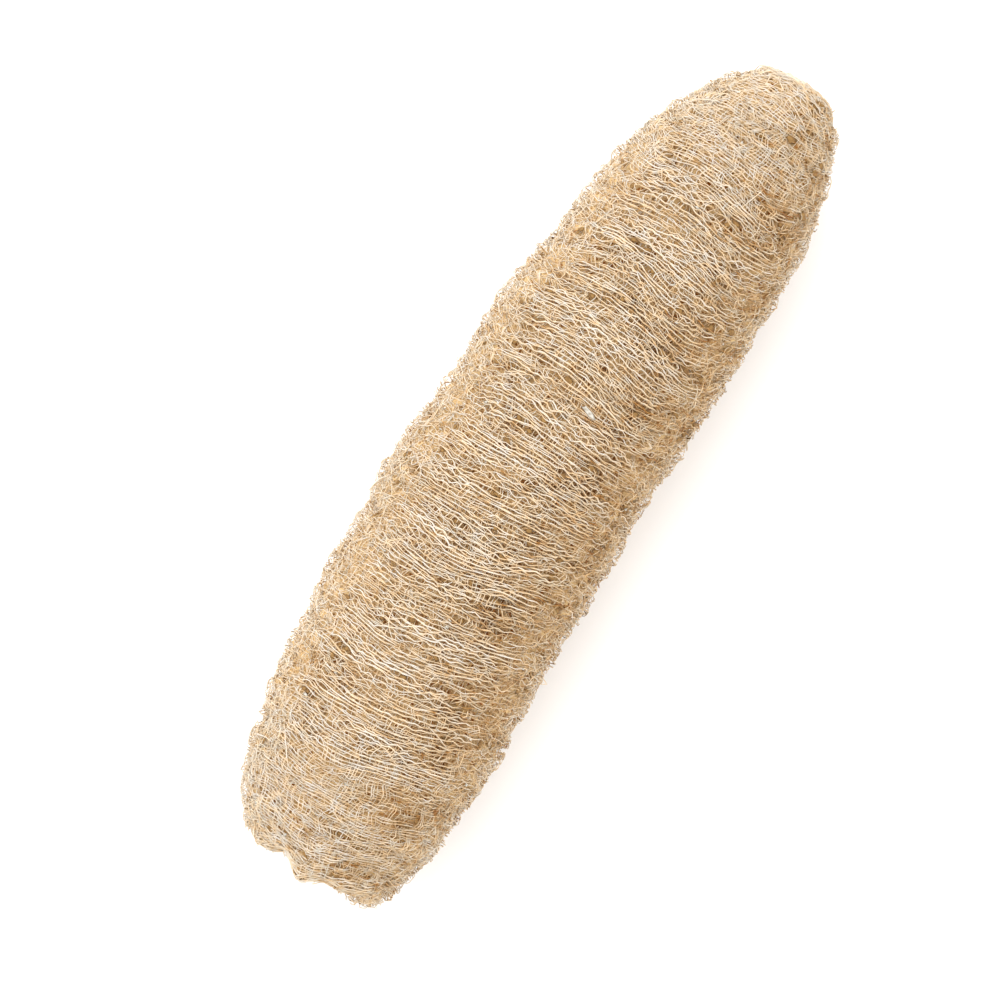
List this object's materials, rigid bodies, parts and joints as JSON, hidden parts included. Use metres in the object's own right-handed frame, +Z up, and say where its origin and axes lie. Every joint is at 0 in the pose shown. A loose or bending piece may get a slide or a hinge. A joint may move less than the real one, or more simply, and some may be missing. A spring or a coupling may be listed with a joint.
{
  "type": "natural loofah sponge",
  "caption": "Long dried luffa fruit skeleton, tapered at the stalk end and blunt at the other, with a skin of raised fibre net, lying on its side.",
  "frame": {"origin": "bottom centre of the whole sponge as it lies on its side", "axes": "+Y along the fruit towards the end where the stalk was, +Z up, +X to the right seen from above with the stalk end away"},
  "size_m": [0.079, 0.285, 0.0698],
  "materials": {
    "luffa_fibre": "matt dried plant fibre, pale straw with browner depths"
  },
  "bodies": {
    "root": {"loofah_sponge": "luffa_fibre"}
  },
  "joints": []
}
